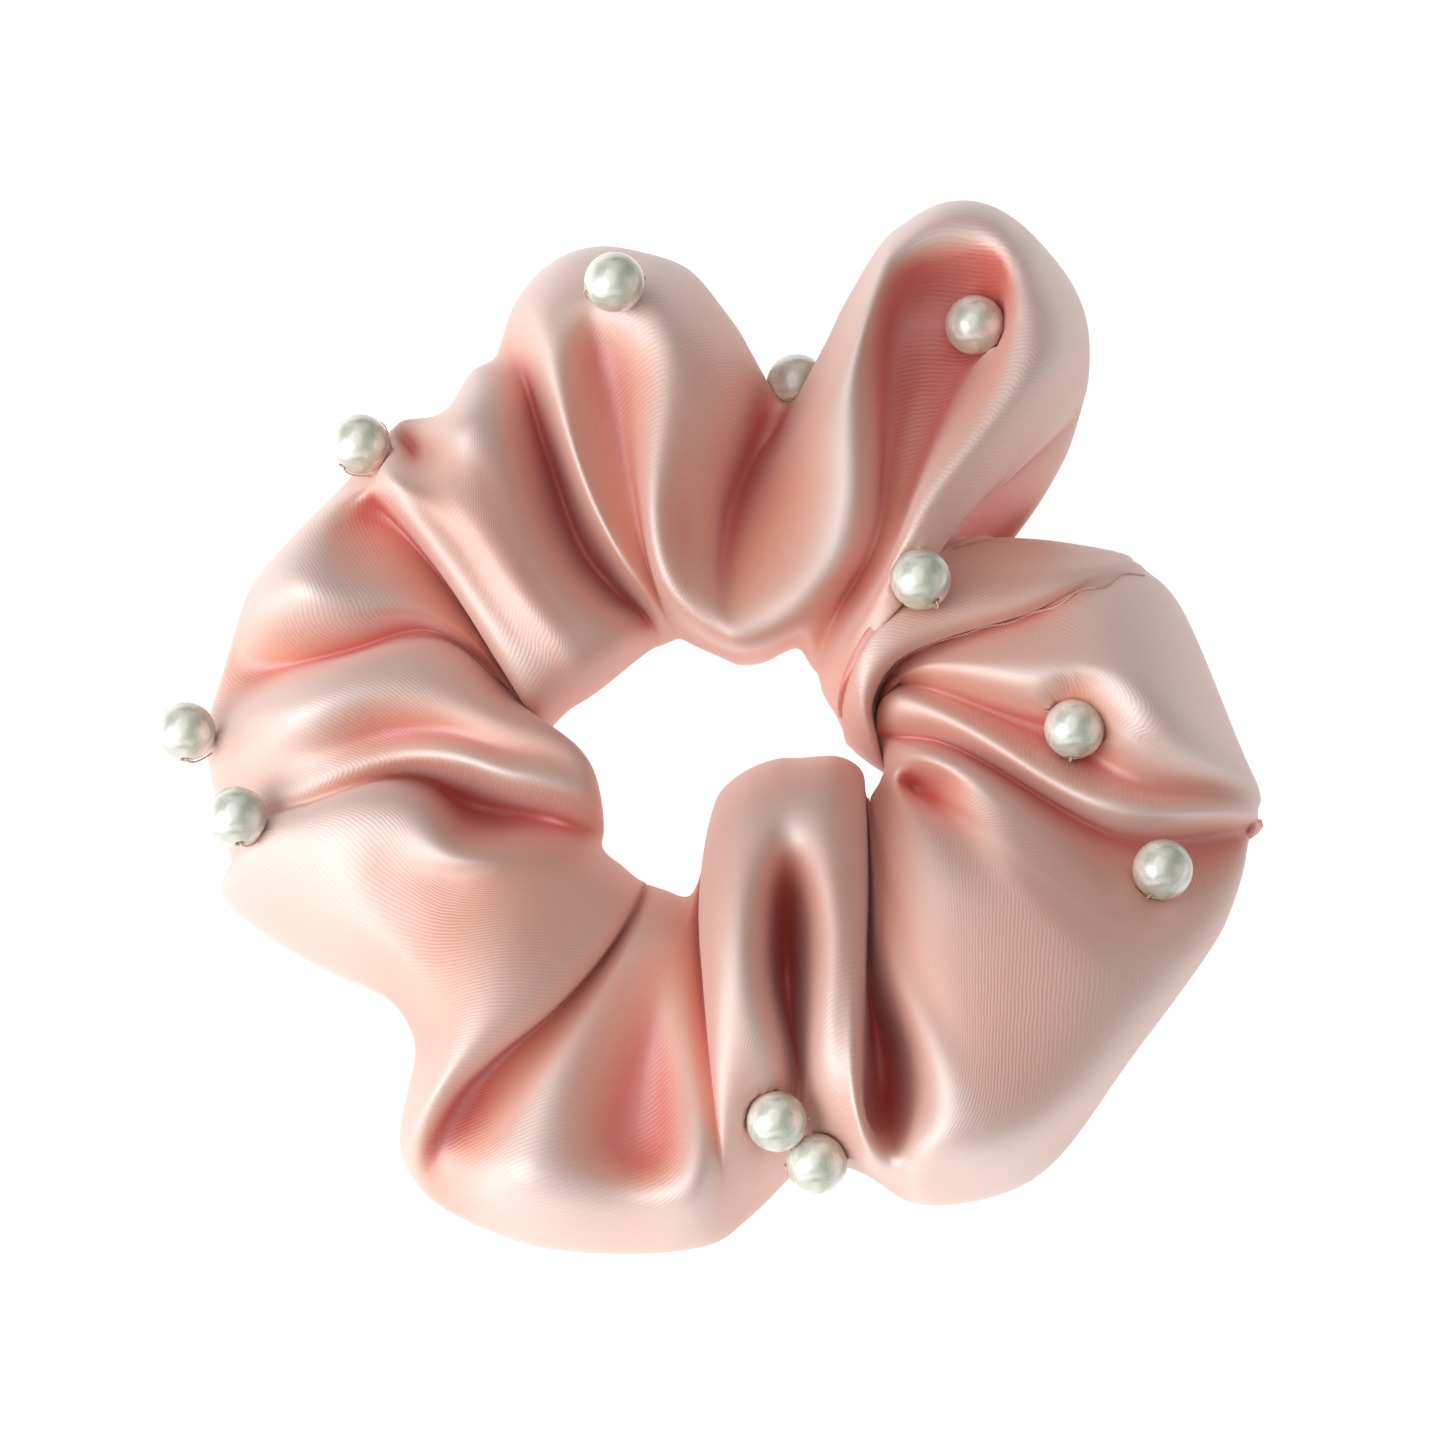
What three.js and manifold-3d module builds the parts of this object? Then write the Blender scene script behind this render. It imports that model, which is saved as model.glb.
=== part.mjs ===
// A satin scrunchie with sewn-on pearls, lying flat on a table.
//
// Frame: millimetres, +Z up, the table at z = 0, the middle of the object's outline at x = y = 0.
// A gathered satin sleeve goes round a flat elastic loop. The loop is pulled open along X, so the
// sleeve and the elastic are each made as a left and a right half that meet in the plane through
// the elastic loop's middle. Angles and places below are measured from the loop's middle.
import * as THREE from "three";
import { mergeVertices } from "three/addons/utils/BufferGeometryUtils.js";
import Module from "manifold-3d";

const wasm = await Module();
wasm.setup();

// Driving dimensions.
const PEARL_RADIUS = 3.0;
const PEARL_HOLE_RADIUS = 0.5;
const PEARL_SIDES = 12;
const PEARL_SEAT = 3.75; // radius of the dimple that a sewn pearl pulls into the satin
const THREAD_RADIUS = 0.15;
const THREAD_RUN = 3.3; // from a pearl's middle to the middle of the thread round it
const THREAD_LEG = [35, 58, 80]; // degrees round the bead from the satin to its hole
const THREAD_TUCK = 0.6; // how far the thread has gone down the hole before it runs straight
const PEARL_THREAD_STEPS = 16;
const STITCH_SIDES = 3;
const ELASTIC_RADIUS = 24.5; // inside of the elastic loop, about 155 mm round
const ELASTIC_THICKNESS = 1.0;
const ELASTIC_WIDTH = 6.0;
const ELASTIC_BOTTOM = 4.0;
const ELASTIC_SEGMENTS = 9;
const LAP_LAYERS = 2; // the elastic's two ends are sewn one over the other
const LAP_HALF_ANGLE = 14;
const LAP_ZIGZAGS = 10;
const LAP_STITCH_REACH = 0.8; // share of the lap that the zigzag runs along
const LAP_STITCH_SWING = 0.33; // share of the elastic's width that it swings to each side
const LAP_STEPS = 30;
const STITCH_LIFT = 0.45;
const CHANNEL_CLEARANCE = 1.6; // from the elastic to the satin round it
const CLOSING_ANGLE = 20; // where the sleeve's two ends are sewn together
const CLOSING_HALF_WIDTH = 0.7;
const CLOSING_LIFT = 0.8;
const CLOSING_STEPS = 36;
const HALF_GAP = 0.15; // from the plane between the halves to the cut face of each half
const LOOP_MIDDLE = [2.25, 0.2, 0]; // the elastic loop's middle in the part's frame
const SECTION_SIDES = 16;
const SECTION_ROUNDNESS = 0.8; // 1 is an ellipse, towards 0 is a box
const OUTER_SLOPE = 0.2; // the crests sink towards the outer edge by this share
const FLAT_SHARE = 0.08; // how much of the section's height the table presses flat
const STATIONS_PER_HALF = 28;
const POCKET_SIDES = 12;

// The gathered satin's lobes and the notches between them, counter-clockwise from +X:
// [angle in degrees, distance of the hole's edge, distance of the outer edge, height of the crest].
const LOBES = [
  [0, 15.0, 50.5, 30],
  [12, 14.5, 48.0, 28],
  [22, 14.0, 45.0, 27],
  [32, 13.5, 41.5, 27],
  [42, 13.0, 37.0, 26],
  [50, 12.5, 47.0, 27],
  [58, 12.5, 58.0, 32],
  [66, 12.5, 61.0, 34],
  [74, 12.5, 54.0, 33],
  [82, 12.5, 41.0, 26],
  [90, 12.5, 42.0, 27],
  [98, 12.5, 52.0, 30],
  [108, 13.0, 56.0, 30],
  [118, 14.0, 52.5, 29],
  [128, 15.0, 47.0, 27],
  [138, 16.0, 50.0, 31],
  [149, 17.0, 48.5, 27],
  [160, 17.5, 51.0, 27],
  [170, 17.5, 52.5, 27],
  [180, 17.0, 53.0, 29],
  [189, 16.5, 51.5, 25],
  [198, 16.5, 54.5, 28],
  [208, 17.0, 51.0, 29],
  [220, 17.0, 45.0, 29],
  [229, 17.0, 50.5, 30],
  [238, 16.5, 58.0, 25],
  [248, 16.0, 58.5, 28],
  [259, 15.5, 56.5, 25],
  [270, 15.0, 53.0, 31],
  [281, 15.0, 47.0, 30],
  [290, 15.0, 53.0, 26],
  [302, 15.0, 56.0, 29],
  [314, 14.5, 54.0, 30],
  [328, 14.5, 52.0, 30],
  [340, 14.5, 53.0, 28],
  [351, 15.0, 54.0, 27],
];

// Where each pearl's middle lies, with the direction away from the satin under it.
const PEARLS = [
  { at: [-12.7, 41.5, 33], away: [0.0, 0.2, 1] },
  { at: [23.1, 40.8, 24], away: [0.0, 0.1, 1] },
  { at: [17.5, 10.9, 30], away: [-0.1, 0.1, 1] },
  { at: [32.6, -2.9, 25], away: [0.1, -0.2, 1] },
  { at: [41.2, -16.6, 22], away: [0.5, -0.3, 1] },
  { at: [3.3, -43.2, 22.6], away: [0.0, -0.7, 1] },
  { at: [7.2, -46.3, 19.1], away: [0.1, -0.8, 1] },
  { at: [-49.8, -11.0, 22], away: [-1, -0.1, 0.7] },
  { at: [-55.1, 0.0, 17], away: [-1, 0.0, 0.5] },
  { at: [-38.0, 28.8, 22], away: [-0.9, 0.6, 0.6] },
  { at: [5.4, 39.6, 12], away: [0.0, 1, 0.3] },
  { at: [39.0, 18.0, 6], away: [0.9, 0.4, -0.1] },
  { at: [-17.8, 51.3, 7], away: [-0.3, 1, 0.1] },
  { at: [27.5, 51.0, 8], away: [0.5, 0.9, 0.1] },
];

// The deep folds that run across the ring: middle of each fold's mouth, half its length, width and
// depth, and the angle from +X that it runs along.
const POCKETS = [
  { at: [19.0, 33.0, 31], half: [13, 4.5, 10], turn: 70 },
  { at: [1.2, 30.0, 25], half: [8, 3, 9], turn: 62 },
  { at: [-16.6, 17.5, 27], half: [9, 3, 9], turn: 123 },
  { at: [-25.0, -10.0, 27], half: [6, 3, 8], turn: 10 },
  { at: [4.5, -24.0, 30], half: [9, 2.5, 11], turn: 100 },
  { at: [14.1, -37.0, 27], half: [8, 3, 9], turn: 103 },
  { at: [-27.0, -41.0, 26], half: [7, 3, 8], turn: 66 },
  { at: [35.4, -5.0, 28], half: [8, 3.5, 6], turn: 155 },
];

const finishes = {
  satin: { color: 0xe7b5ae, roughness: 0.4 },
  elastic: { color: 0xf2ece6, roughness: 0.8 },
  pearl: { color: 0xf4f3ee, roughness: 0.2 },
  thread: { color: 0xe3a9a2, roughness: 0.6 },
};

// One point on the ring in cylindrical terms: angle in degrees, distance from the axis, height.
function polar(angle, radius, height) {
  const turn = THREE.MathUtils.degToRad(angle);
  return new THREE.Vector3(radius * Math.cos(turn), radius * Math.sin(turn), height);
}

function catmullRom(t, before, from, to, after) {
  const slopeFrom = (to - before) / 2;
  const slopeTo = (after - from) / 2;
  const cubic = 2 * from - 2 * to + slopeFrom + slopeTo;
  const square = -3 * from + 3 * to - 2 * slopeFrom - slopeTo;
  return ((cubic * t + square) * t + slopeFrom) * t + from;
}

// Hole edge, outer edge and crest height at any angle, by a smooth curve through the lobes.
function sleeveProfile(angle) {
  const wrapped = (angle + 360) % 360;
  const count = LOBES.length;
  const index = LOBES.findLastIndex((lobe) => lobe[0] <= wrapped);
  const next = index + 1 < count ? LOBES[index + 1][0] : 360;
  const t = (wrapped - LOBES[index][0]) / (next - LOBES[index][0]);
  const around = [-1, 0, 1, 2].map((step) => LOBES[(index + step + count) % count]);
  const smooth = (column) => catmullRom(t, ...around.map((lobe) => lobe[column]));
  return { inner: smooth(1), outer: smooth(2), height: smooth(3) };
}

// A rounded box outline in a half-plane through the ring's axis, as [distance, height] pairs.
// slope lowers the top towards the outer edge.
function roundedSection(low, high, bottom, top, slope) {
  const points = [];
  for (let side = 0; side < SECTION_SIDES; side++) {
    const turn = (2 * Math.PI * side) / SECTION_SIDES;
    const across = Math.sign(Math.cos(turn)) * Math.abs(Math.cos(turn)) ** SECTION_ROUNDNESS;
    const up = Math.sign(Math.sin(turn)) * Math.abs(Math.sin(turn)) ** SECTION_ROUNDNESS;
    points.push([
      (low + high) / 2 + ((high - low) / 2) * across,
      ((bottom + top) / 2 + ((top - bottom) / 2) * up) * (1 - slope * Math.max(across, 0)),
    ]);
  }
  return points;
}

// Quads between two loops of the same length, as two triangles each.
function stitchLoops(indices, first, second) {
  for (let side = 0; side < SECTION_SIDES; side++) {
    const next = (side + 1) % SECTION_SIDES;
    indices.push(first + side, first + next, second + next);
    indices.push(first + side, second + next, second + side);
  }
}

// Half of the gathered sleeve: a lobed skin outside, flat where it lies on the table, and a
// channel for the elastic inside, open at both ends. It covers the 180 degrees after startAngle.
function halfSleeve(startAngle) {
  const positions = [];
  const indices = [];
  const shift = startAngle > 0 ? -HALF_GAP : HALF_GAP;
  const addLoop = (points, angle) => {
    for (const [radius, height] of points) {
      const place = polar(angle, radius, Math.max(height, 0));
      positions.push(place.x + shift, place.y, place.z);
    }
  };
  const channel = roundedSection(
    ELASTIC_RADIUS - CHANNEL_CLEARANCE,
    ELASTIC_RADIUS + LAP_LAYERS * ELASTIC_THICKNESS + CHANNEL_CLEARANCE,
    ELASTIC_BOTTOM - CHANNEL_CLEARANCE,
    ELASTIC_BOTTOM + ELASTIC_WIDTH + CHANNEL_CLEARANCE,
    0,
  );
  for (let station = 0; station <= STATIONS_PER_HALF; station++) {
    const angle = startAngle + (180 * station) / STATIONS_PER_HALF;
    const { inner, outer, height } = sleeveProfile(angle);
    addLoop(roundedSection(inner, outer, -FLAT_SHARE * height, height, OUTER_SLOPE), angle);
    addLoop(channel, angle);
  }
  const loopPair = 2 * SECTION_SIDES;
  for (let station = 0; station < STATIONS_PER_HALF; station++) {
    const here = station * loopPair;
    const there = here + loopPair;
    stitchLoops(indices, there, here);
    stitchLoops(indices, here + SECTION_SIDES, there + SECTION_SIDES);
  }
  const last = STATIONS_PER_HALF * loopPair;
  stitchLoops(indices, 0, SECTION_SIDES);
  stitchLoops(indices, last + SECTION_SIDES, last);
  const geometry = new THREE.BufferGeometry();
  geometry.setAttribute("position", new THREE.Float32BufferAttribute(positions, 3));
  geometry.setIndex(indices);
  return geometry;
}

// Solid for cutting, from a closed geometry.
function toSolid(geometry) {
  const bare = geometry.clone();
  bare.deleteAttribute("normal");
  bare.deleteAttribute("uv");
  const merged = mergeVertices(bare, 1e-4);
  const mesh = new wasm.Mesh({
    numProp: 3,
    vertProperties: new Float32Array(merged.attributes.position.array),
    triVerts: new Uint32Array(merged.index.array),
  });
  return new wasm.Manifold(mesh);
}

function toGeometry(solid) {
  const mesh = solid.getMesh();
  const geometry = new THREE.BufferGeometry();
  geometry.setAttribute("position", new THREE.BufferAttribute(mesh.vertProperties, 3));
  geometry.setIndex(new THREE.BufferAttribute(mesh.triVerts, 1));
  geometry.computeVertexNormals();
  return geometry;
}

// Half of the sleeve with its deep folds and the dimples that the sewn pearls pull into it.
function finishedSleeve(startAngle) {
  let solid = toSolid(halfSleeve(startAngle));
  for (const { at, half, turn } of POCKETS) {
    const pocket = new THREE.SphereGeometry(1, POCKET_SIDES, POCKET_SIDES / 2);
    pocket.scale(...half);
    pocket.rotateZ(THREE.MathUtils.degToRad(turn));
    pocket.translate(...at);
    solid = solid.subtract(toSolid(pocket));
  }
  for (const { at } of PEARLS) {
    const seat = new THREE.SphereGeometry(PEARL_SEAT, PEARL_SIDES, PEARL_SIDES / 2);
    seat.rotateX(Math.PI / 2);
    seat.translate(...at);
    solid = solid.subtract(toSolid(seat));
  }
  return toGeometry(solid);
}

// A pearl bead with the hole for its thread along Z.
function pearlGeometry() {
  const start = Math.asin(PEARL_HOLE_RADIUS / PEARL_RADIUS);
  const steps = PEARL_SIDES / 2 + 1;
  const profile = [];
  for (let step = 0; step <= steps; step++) {
    const turn = start + ((Math.PI - 2 * start) * step) / steps;
    profile.push(new THREE.Vector2(PEARL_RADIUS * Math.sin(turn), -PEARL_RADIUS * Math.cos(turn)));
  }
  profile.push(profile[0].clone());
  const bead = new THREE.LatheGeometry(profile, PEARL_SIDES);
  return bead.rotateX(Math.PI / 2);
}

// A round thread along a route.
function threadAlong(route, steps, sides) {
  const section = new THREE.Shape();
  section.absarc(0, 0, THREAD_RADIUS, 0, 2 * Math.PI);
  const path = new THREE.CatmullRomCurve3(route);
  return new THREE.ExtrudeGeometry(section, { steps, curveSegments: sides, extrudePath: path });
}

// The thread that sews a pearl on: up out of the satin, round the bead, through its hole along Z
// and back down. The satin lies towards -X.
function pearlThreadGeometry() {
  const leg = THREAD_LEG.map((degrees) => {
    const turn = THREE.MathUtils.degToRad(degrees);
    return new THREE.Vector3(-THREAD_RUN * Math.cos(turn), 0, THREAD_RUN * Math.sin(turn));
  });
  leg.push(new THREE.Vector3(-THREAD_RADIUS, 0, THREAD_RUN - THREAD_RADIUS));
  leg.push(new THREE.Vector3(0, 0, THREAD_RUN - THREAD_TUCK));
  const back = leg.map((point) => new THREE.Vector3(point.x, 0, -point.z)).reverse();
  return threadAlong([...leg, ...back], PEARL_THREAD_STEPS, STITCH_SIDES);
}

// A flat strip of the elastic loop, on edge, as wide as the elastic.
function elasticStrip(fromAngle, toAngle, lapAngles, shift) {
  const outer = ELASTIC_RADIUS + ELASTIC_THICKNESS;
  const lap = ELASTIC_RADIUS + LAP_LAYERS * ELASTIC_THICKNESS;
  const turn = THREE.MathUtils.degToRad;
  const outline = new THREE.Shape();
  if (lapAngles) {
    outline.absarc(0, 0, outer, turn(fromAngle), turn(lapAngles[0]), false);
    outline.absarc(0, 0, lap, turn(lapAngles[0]), turn(lapAngles[1]), false);
    outline.absarc(0, 0, outer, turn(lapAngles[1]), turn(toAngle), false);
  } else {
    outline.absarc(0, 0, outer, turn(fromAngle), turn(toAngle), false);
  }
  outline.absarc(0, 0, ELASTIC_RADIUS, turn(toAngle), turn(fromAngle), true);
  const options = { depth: ELASTIC_WIDTH, bevelEnabled: false, curveSegments: ELASTIC_SEGMENTS };
  const strip = new THREE.ExtrudeGeometry(outline, options);
  return strip.translate(shift, 0, ELASTIC_BOTTOM);
}

// The zigzag stitch through the lap, lying on the lap's outer face.
function lapStitchRoute() {
  const radius = ELASTIC_RADIUS + LAP_LAYERS * ELASTIC_THICKNESS + STITCH_LIFT;
  const middle = ELASTIC_BOTTOM + ELASTIC_WIDTH / 2;
  const route = [];
  for (let turn = 0; turn <= LAP_ZIGZAGS; turn++) {
    const angle = 180 + LAP_HALF_ANGLE * LAP_STITCH_REACH * (1 - (2 * turn) / LAP_ZIGZAGS);
    const side = turn % 2 === 0 ? 1 : -1;
    route.push(polar(angle, radius, middle + side * ELASTIC_WIDTH * LAP_STITCH_SWING));
  }
  return route;
}

// The ladder stitch that closes the sleeve where its two ends meet, along the top of the ring.
function closingStitchRoute() {
  const { inner, outer, height } = sleeveProfile(CLOSING_ANGLE);
  const section = roundedSection(inner, outer, -FLAT_SHARE * height, height, OUTER_SLOPE);
  const overTop = section.slice(1, SECTION_SIDES / 2);
  const route = [];
  overTop.forEach(([radius, up], index) => {
    const next = overTop[Math.min(index + 1, overTop.length - 1)];
    const swing = CLOSING_HALF_WIDTH / radius;
    for (const share of [0, 0.5]) {
      const distance = radius + (next[0] - radius) * share;
      const lift = up + (next[1] - up) * share + CLOSING_LIFT;
      const side = route.length % 2 === 0 ? 1 : -1;
      route.push(polar(CLOSING_ANGLE + THREE.MathUtils.radToDeg(swing) * side, distance, lift));
    }
  });
  return route;
}

function material(name) {
  return new THREE.MeshStandardMaterial({ ...finishes[name], metalness: 0 });
}

const scrunchie = new THREE.Group();

function addPiece(name, geometry, pieceMaterial) {
  const piece = new THREE.Mesh(geometry, pieceMaterial);
  piece.name = name;
  scrunchie.add(piece);
  return piece;
}

function addSleeve() {
  addPiece("sleeve_left", finishedSleeve(90), material("satin"));
  addPiece("sleeve_right", finishedSleeve(-90), material("satin"));
  const closing = threadAlong(closingStitchRoute(), CLOSING_STEPS, STITCH_SIDES);
  addPiece("closing_stitch", closing, material("thread"));
}

function addElastic() {
  const lap = [180 - LAP_HALF_ANGLE, 180 + LAP_HALF_ANGLE];
  addPiece("elastic_left", elasticStrip(90, 270, lap, -HALF_GAP), material("elastic"));
  addPiece("elastic_right", elasticStrip(-90, 90, null, HALF_GAP), material("elastic"));
  addPiece("elastic_lap_stitch", threadAlong(lapStitchRoute(), LAP_STEPS, STITCH_SIDES), material("thread"));
}

// Turns a piece made along Z with the satin towards -X so that +X points away from the satin.
function seatOnSatin(piece, { at, away }) {
  const out = new THREE.Vector3(...away).normalize();
  const along = new THREE.Vector3(-at[1], at[0], 0).normalize();
  along.addScaledVector(out, -along.dot(out)).normalize();
  const across = new THREE.Vector3().crossVectors(along, out);
  piece.setRotationFromMatrix(new THREE.Matrix4().makeBasis(out, across, along));
  piece.position.set(...at);
}

function addPearls() {
  PEARLS.forEach((pearl, index) => {
    const number = String(index + 1).padStart(2, "0");
    seatOnSatin(addPiece(`pearl_${number}`, pearlGeometry(), material("pearl")), pearl);
    const thread = addPiece(`pearl_thread_${number}`, pearlThreadGeometry(), material("thread"));
    seatOnSatin(thread, pearl);
  });
}

addSleeve();
addElastic();
addPearls();
scrunchie.position.set(...LOOP_MIDDLE);

export default scrunchie;
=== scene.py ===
"""A pink satin scrunchie with sewn-on pearls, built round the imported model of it.

Lengths in the constants are millimetres, unless they say otherwise. Everything made from them is in
metres, in the model's frame.
"""
import math

import bpy
import numpy as np
from mathutils import Matrix, Vector


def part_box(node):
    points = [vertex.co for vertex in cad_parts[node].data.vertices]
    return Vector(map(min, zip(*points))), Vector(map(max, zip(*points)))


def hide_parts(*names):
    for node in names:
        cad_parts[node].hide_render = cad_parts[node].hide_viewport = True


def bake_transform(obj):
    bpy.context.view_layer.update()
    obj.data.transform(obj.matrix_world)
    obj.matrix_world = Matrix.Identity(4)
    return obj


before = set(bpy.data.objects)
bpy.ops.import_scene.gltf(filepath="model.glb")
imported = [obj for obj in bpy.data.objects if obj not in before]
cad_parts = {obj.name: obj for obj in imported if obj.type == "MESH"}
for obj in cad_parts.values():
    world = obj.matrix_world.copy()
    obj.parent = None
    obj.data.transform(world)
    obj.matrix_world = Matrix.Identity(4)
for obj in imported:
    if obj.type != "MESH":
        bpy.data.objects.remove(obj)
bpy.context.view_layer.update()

MM = 0.001
LEAN = math.radians(22)  # the fold lines are drawn on a sheet that leans back this far from level
ROW_SHIFT = 5.65  # from the sheet's middle line to the frame's

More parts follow.
